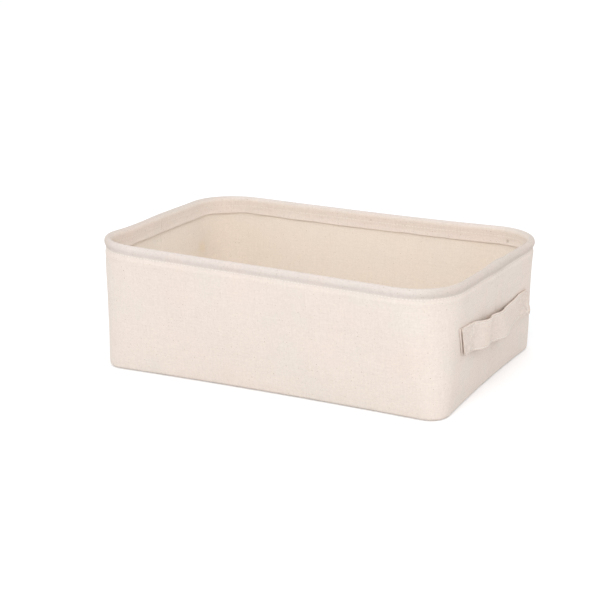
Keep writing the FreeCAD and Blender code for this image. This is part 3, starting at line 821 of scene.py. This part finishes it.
def stitchRow(name, body, stitches, thread, replaced):
    # each stitch is a short rounded length of thread from one needle hole to the next;
    # stitches holds (start, end, outward direction) in millimetres
    mesh = bmesh.new()
    radius = stitchShape["radius"]
    for start, end, out in stitches:
        along = end - start
        length = along.length * stitchShape["fill"]
        along.normalize()
        side = out.cross(along).normalized()
        up = along.cross(side)
        turn = Matrix((along, side, up)).transposed().to_4x4()
        scale = Matrix.Diagonal((length / 2 * mm, radius * mm, radius * mm, 1.0))
        middle = Matrix.Translation((start + end) / 2 * mm)
        bmesh.ops.create_icosphere(mesh, subdivisions=2, radius=1.0, matrix=middle @ turn @ scale)
    return finished(mesh, name, body, thread, replaced)


def rimStitches(name, inset, z, inward, node):
    length = 2 * outlineLength(z)
    count = round(length / stitchShape["rimPitch"])
    pitch, stitches = length / count, []
    for index in range(count):
        start, end = (rimPoint(pitch * (index + part), inset, z) for part in (0, 1))
        into = rimAxes(pitch * (index + 0.5), inset, z)[2]
        stitches.append((start, end, into if inward else -into))
    stitchRow(name, "bin", stitches, cottonThread, [node])


rimStitches("rimTopstitch", 1.6, stitchShape["rimLevel"], False, "rim_topstitch")
rimStitches("rimUnderstitch", 6.1, stitchShape["rimLevel"], True, "rim_understitch")
print("rim stitches made")


strapShape = {
    "thickness": 2.4,
    "halfWidth": 14.0,
    "halfLength": 86.0,
    "gripHalf": 57.0,
    "twist": 24.0,           # length next to each sewn end: bendStrap works out a point this far in, but nothing turns the strap
    "level": 60.0,
    "tilt": 3.4,
    "tipLift": (0.1, 1.9),   # how far the front and the back tip curl off the wall
    "foldShows": 1.5,        # the fold reaches this far past the sewn end
    "endRound": 2.6,
    "tipRound": 1.2,
    "openFold": 7.0,
    "foldThickness": 1.6,
    "edgeRow": 11.8,         # the rows of stitches, from the strap's middle line
    "boxRows": (59.5, 82.8),
    "stitchDip": 0.5,
    "puff": (0.25, 9.0),     # how deep the cloth's unevenness is, and how long its waves are
    "sewnPuff": (0.9, 4.0),  # the same over the sewn ends
    "edgeWaver": (0.35, 14.0),
    "step": 1.25,
}
# the strap's section: (across, height over its inner face)
topEdge = (12.7, 12.2, 11.8, 11.4, 10.8)
topRun = [*topEdge, *(9.8 - 1.4 * step for step in range(15)), *(-across for across in reversed(topEdge))]
strapSection = ([(-13.2, 0.1), (-9.0, 0.0), (-4.5, 0.0), (0.0, 0.0), (4.5, 0.0), (9.0, 0.0), (13.2, 0.1),
                 (13.8, 0.55), (14.0, 1.2), (13.85, 1.8), (13.3, 2.2)]
                + [(across, 2.4) for across in topRun]
                + [(-13.3, 2.2), (-13.85, 1.8), (-14.0, 1.2), (-13.8, 0.55)])
# how far the strap's inner face stands off the wall along its upper and its lower edge, from
# its front end to its back end: it was sewn on slack, and it twists a little
gripWaves = {
    "right": {
        "upper": [(-57.0, 1.0), (-50.0, 1.3), (-44.0, 2.6), (-36.0, 4.9), (-28.0, 5.4), (-16.0, 2.6),
                  (-7.0, 3.7), (1.0, 5.0), (8.0, 4.4), (16.0, 2.6), (25.0, 1.4), (40.0, 1.0), (57.0, 0.7)],
        "lower": [(-57.0, 1.0), (-50.0, 2.8), (-43.0, 4.8), (-36.0, 5.9), (-29.0, 6.0), (-16.0, 2.9),
                  (-8.0, 4.0), (1.0, 6.7), (8.0, 8.1), (15.0, 7.9), (22.0, 6.2), (31.0, 3.6), (42.0, 1.8),
                  (57.0, 1.0)],
    },
    "left": {
        "upper": [(-57.0, 1.0), (-44.0, 4.9), (-30.0, 7.6), (-12.0, 6.9), (6.0, 8.2), (22.0, 6.8),
                  (38.0, 5.6), (48.0, 2.6), (57.0, 1.0)],
        "lower": [(-57.0, 1.0), (-42.0, 6.4), (-26.0, 8.4), (-10.0, 7.6), (10.0, 8.6), (26.0, 7.6),
                  (42.0, 5.0), (57.0, 1.0)],
    },
}
# how far back the upper and the lower corner of each sewn end lie, front end first, and how
# much higher the back end is than the strap's line
endShift = {"right": ((0.0, 11.0), (-11.0, 2.0)), "left": ((0.0, 2.5), (0.0, -2.0))}
backRise = {"right": 2.8, "left": 0.0}
gripSag = {"right": 2.0, "left": 1.0}  # how far the grip hangs below the strap's line


def strapPoint(side, along, across, out):
    tilt = math.radians(strapShape["tilt"])
    y = along * math.cos(tilt) + across * math.sin(tilt)
    z = strapShape["level"] - along * math.sin(tilt) + across * math.cos(tilt)
    z += backRise[side] * smooth(10, 78, along) - gripSag[side] * smooth(57, 35, abs(along))
    share = abs(y) / outlineLength(z)
    return clothPoint(-1 if y < 0 else 1, share if side == "right" else 1 - share, z, -out)


def offWall(side, along, across):
    upper, lower = (through(gripWaves[side][edge], along) for edge in ("upper", "lower"))
    half = strapShape["halfWidth"]
    return lower + (upper - lower) * (across + half) / (2 * half)


def slanted(side, along, across):
    shape = strapShape
    sewn = smooth(shape["gripHalf"] - 10, shape["halfLength"], abs(along))
    upper, lower = endShift[side][0 if along < 0 else 1]
    return along + sewn * (lower + (upper - lower) * (across / (2 * shape["halfWidth"]) + 0.5))


def strapFace(side, along, across, height):
    # a point of the strap: height 0 is its inner face, its thickness is the outer one
    shape = strapShape
    halfWidth, thickness = shape["halfWidth"], shape["thickness"]
    toEnd = shape["halfLength"] - abs(along)
    round_, tip = shape["endRound"], shape["tipRound"]
    if toEnd < round_:
        across *= 1 - (round_ - math.sqrt(max(round_**2 - (round_ - toEnd) ** 2, 0.0))) / halfWidth
    middle = thickness / 2
    if toEnd < tip:
        fullness = math.sqrt(max(1 - (1 - toEnd / tip) ** 2, 0.0))
        height = middle + (height - middle) * (0.35 + 0.65 * fullness)
    folded = smooth(shape["openFold"], 0.5, toEnd)  # the fold under the tip holds it open
    height = thickness - (thickness - height) * (1 - 0.5 * folded)
    dips = math.exp(-((abs(across) - shape["edgeRow"]) / 0.55) ** 2)
    first, last = shape["boxRows"]
    if abs(across) < shape["edgeRow"] + 0.4:
        dips = max(dips, *(math.exp(-((abs(along) - row) / 1.1) ** 2) for row in (first, last)))
        if first < abs(along) < last:  # the two slanting rows of the cross
            cross = (2 * (abs(along) - first) / (last - first) - 1) * shape["edgeRow"]
            dips = max(dips, *(math.exp(-((across - sign * cross) / 1.3) ** 2) for sign in (-1, 1)))
    depth, wave = shape["puff"]
    puff = depth * noise.noise(Vector((along / wave, across / wave, 3.0 if side == "right" else 8.0)))
    sewn = smooth(shape["gripHalf"] - 4, shape["gripHalf"] + 4, abs(along))
    depth, wave = shape["sewnPuff"]
    puff += depth * sewn * noise.noise(Vector((along / wave, across / wave, 6.0)))
    top = smooth(0.5, 2.2, height)
    out = offWall(side, along, across) + height + top * (puff - shape["stitchDip"] * (1 + sewn) * dips)
    tipLift = shape["tipLift"][0 if along < 0 else 1]
    out += tipLift * smooth(last - 4, shape["halfLength"], abs(along)) * (0.5 - across / (2 * halfWidth))
    depth, wave = shape["edgeWaver"]
    edgeWaver = depth * noise.noise(Vector((along / wave, math.copysign(2.0, across), 5.0)))
    return strapPoint(side, slanted(side, along, across), across + edgeWaver, out)


def foldedEnd(name, side, end, node):
    # the end of the strap is folded under, and the fold shows just past the sewn end
    shape = strapShape
    near, far = shape["gripHalf"] + 4.0, shape["halfLength"] + shape["foldShows"]
    stops = (-13.3, -6.5, 0.0, 6.5, 13.3)
    section = [(across, 0.0) for across in stops] + [(13.7, 0.3)]
    section += [(across, 0.65) for across in reversed(stops)] + [(-13.7, 0.3)]

    def place(share, rise):
        across, height = section[round(rise * len(section)) % len(section)]
        along = near + (far - near) * share
        rounding = smooth(far - 1.6, far, along)
        height = 0.32 + (height - 0.32) * (1 - 0.3 * rounding ** 2)
        out = 0.1 + height * shape["foldThickness"]
        return strapPoint(side, slanted(side, end * along, across), across * (1 - 0.03 * rounding), out)

    mesh = clothGrid(24, len(section), place, (far - near, 30), closed=True)
    closeEnds(mesh)
    finished(mesh, name, "bin", strapCloth, [node])


def strapHalf(name, side, end, replaced):
    # end is -1 for the front half and 1 for the back half; both stop at the strap's middle,
    # where they follow the grip
    shape = strapShape
    count = round(shape["halfLength"] / shape["step"])
    stops = [shape["halfLength"] * index / count for index in range(count + 1)]
    stops[-1:] = [shape["halfLength"] - extra for extra in (0.7, 0.25, 0.0)]
    ring = len(strapSection)

    def place(share, rise):
        across, height = strapSection[round(rise * ring) % ring]
        return strapFace(side, end * stops[round(share * (len(stops) - 1))], across, height)

    mesh = clothGrid(len(stops) - 1, ring, place, (shape["halfLength"], 62), closed=True)
    for edge in closeEnds(mesh):
        edge.smooth = False
    piece = finished(mesh, name, None, strapCloth, replaced)
    bendStrap(piece, side, end)


def bendStrap(piece, side, end):
    shape = strapShape
    sewn, free = (strapPoint(side, end * along, 0.0, 0.0) for along in
                  (shape["gripHalf"] + 0.5, shape["gripHalf"] - shape["twist"]))
    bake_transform(piece)


def strapStitches(side, rows):
    # rows holds pairs of (along, across) ends
    stitches = []
    for (along0, across0), (along1, across1) in rows:
        length = math.hypot(along1 - along0, across1 - across0)
        count = max(round(length / stitchShape["strapPitch"]), 1)
        for index in range(count):
            ends = [(along0 + (along1 - along0) * part / count, across0 + (across1 - across0) * part / count)
                    for part in (index, index + 1)]
            lift, above = (strapShape["thickness"] + out for out in stitchShape["strapLift"])
            start, end = (strapFace(side, *spot, lift) for spot in ends)
            raised = strapFace(side, *ends[0], above)
            stitches.append((start, end, raised - start))
    return stitches


def handle(side):
    row = strapShape["edgeRow"]
    gripThreads = [f"{side}_grip_upper_stitches", f"{side}_grip_lower_stitches"]
    for end, word in ((-1, "front"), (1, "back")):
        name = f"{side}Strap{word.capitalize()}"
        strapHalf(name, side, end, [f"{side}_handle_grip", f"{side}_handle_{word}_tab"])
        near, far = (end * stop for stop in strapShape["boxRows"])
        box = [((near, -row), (near, row)), ((near, row), (far, row)), ((far, row), (far, -row)),
               ((far, -row), (near, -row)), ((near, -row), (far, row)), ((near, row), (far, -row))]
        foldedEnd(f"{name}Fold", side, end, f"{side}_handle_{word}_tab")
        stitchRow(f"{name}Box", "bin", strapStitches(side, box), strapThread, [f"{side}_{word}_box_stitches"])
        edges = [((near, edge), (0.0, edge)) for edge in (-row, row)]
        threads = stitchRow(f"{name}EdgeRows", None, strapStitches(side, edges), strapThread, gripThreads)
        bendStrap(threads, side, end)


handle("right")
handle("left")
print("handles made")


boardLow, boardHigh = (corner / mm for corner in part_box("base_board_cover"))
boardShape = {"corner": 30.8, "around": 1050, "cover": 0.68, "turnIn": 14.8, "edgeRound": 1.0,
              "puff": 0.25, "puffSize": 25.0}


def boardCover():
    low, high, round_ = boardLow.z, boardHigh.z, boardShape["edgeRound"]
    turns = [math.radians(angle) for angle in range(0, 91, 18)]
    corners = [(round_ - round_ * math.cos(turn), round_ * math.sin(turn)) for turn in turns]
    profile = [(boardShape["turnIn"], low), (9.0, low), (4.0, low)]
    profile += [(inset, low + round_ - drop) for inset, drop in reversed(corners)]
    profile += [(0.0, (low + high) / 2)]
    profile += [(inset, high - round_ + rise) for inset, rise in corners]
    profile += [(2.5, high), (6.0, high + 0.05), (12.0, high + 0.1), (20.0, high + 0.1)]

    def place(share, rise):
        inset, z = alongProfile(profile, rise)
        half, part = whichHalf(share * 2)
        x, y, outX, outY = outline(part, boardHigh.x, boardHigh.y, boardShape["corner"])
        y, outY = -half * y, -half * outY
        wave = max(noise.noise(Vector((x, y, z * 4)) / boardShape["puffSize"]), 0.0)
        puff = wave * boardShape["puff"] * (inset < 3)
        return Vector((x - outX * (inset - puff), y - outY * (inset - puff), z))

    mesh = clothGrid(220, len(profile) - 1, place, (boardShape["around"], profile), closed=True)
    top = [edge for edge in mesh.edges if edge.is_boundary and edge.verts[0].co.z > (low + high) / 2 * mm]
    mapFlat(mesh, bmesh.ops.holes_fill(mesh, edges=top)["faces"])
    turnOutwards(mesh, False)
    piece = finished(mesh, "baseBoardCover", "base_insert", liningCloth, ["base_board_cover"])
    thicken(piece, boardShape["cover"], smoothing=0)


boardCover()
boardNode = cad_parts["base_board"]
boardNode.data.materials.clear()
boardNode.data.materials.append(boardSheet)
print("base board made")


studio = {
    "floor": (0.95, 0.95, 0.95), "floorBounce": (0.72, 0.72, 0.72), "floorGlow": 0.12,
    "sky": (0.96, 0.98, 1.0), "skyStrength": 1.0,
    "lamps": [  # place, aimed at, size, watts, colour
        ((0.3, -1.9, 1.2), (0.0, 0.0, 0.05), 1.1, 14.4, (1.0, 0.985, 0.97)),
        ((-1.6, -1.2, 0.9), (0.0, 0.0, 0.05), 1.3, 0.3, (1.0, 0.99, 0.98)),
        ((1.7, -0.5, 0.4), (0.0, 0.0, 0.05), 0.9, 2.7, (1.0, 0.92, 0.89)),
    ],
}
view = {"azimuth": 27.04, "elevation": 17.68, "roll": -0.64, "distance": 1564.1, "right": -13.0, "up": -8.7,
        "height": 60.3, "lens": 94.1}


def floorPiece():
    mesh = bmesh.new()
    bmesh.ops.create_grid(mesh, x_segments=1, y_segments=1, size=4.0)
    data = bpy.data.meshes.new("floor")
    mesh.to_mesh(data)
    mesh.free()
    floor = addObject("floor", data)
    made, tree, shader = newMaterial("paleFloor")
    seen = addNode(tree, "ShaderNodeLightPath").outputs["Is Camera Ray"]
    feed(tree, mixColour(tree, seen, studio["floorBounce"], studio["floor"]), shader.inputs["Base Color"])
    setSockets(shader, {"Roughness": 0.9, "Specular IOR Level": 0.1, "Emission Color": (1.0, 1.0, 1.0, 1.0)})
    feed(tree, calc(tree, "MULTIPLY", seen, studio["floorGlow"]), shader.inputs["Emission Strength"])
    data.materials.append(made)


def lamp(index, place, target, size, watts, colour):
    data = bpy.data.lights.new(f"softbox{index}", "AREA")
    data.shape, data.size, data.energy, data.color = "DISK", size, watts, colour
    light = addObject(data.name, data)
    light.location = place
    light.rotation_euler = (Vector(target) - Vector(place)).to_track_quat("-Z", "Y").to_euler()


def studioCamera():
    turn, rise, roll = (math.radians(view[key]) for key in ("azimuth", "elevation", "roll"))
    back = Vector((math.sin(turn) * math.cos(rise), -math.cos(turn) * math.cos(rise), math.sin(rise)))
    level = Vector((math.cos(turn), math.sin(turn), 0.0))
    upright = back.cross(level)
    right = math.cos(roll) * level + math.sin(roll) * upright
    up = math.cos(roll) * upright - math.sin(roll) * level
    data = bpy.data.cameras.new("camera")
    data.sensor_width, data.lens = 36.0, view["lens"]
    data.clip_start, data.clip_end = 0.05, 50.0
    camera = addObject("camera", data)
    place = Vector((0, 0, view["height"])) + back * view["distance"] + right * view["right"] + up * view["up"]
    camera.matrix_world = Matrix.Translation(place * mm) @ Matrix((right, up, back)).transposed().to_4x4()
    bpy.context.scene.camera = camera


floorPiece()
for index, settings in enumerate(studio["lamps"]):
    lamp(index, *settings)
studioCamera()
world = bpy.data.worlds.new("studio")
world.use_nodes = True
sky = next(n for n in world.node_tree.nodes if n.type == "BACKGROUND")
setSockets(sky, {"Color": (*studio["sky"], 1.0), "Strength": studio["skyStrength"]})
bpy.context.scene.world = world
bpy.context.scene.view_settings.view_transform = "Standard"
print("studio made")
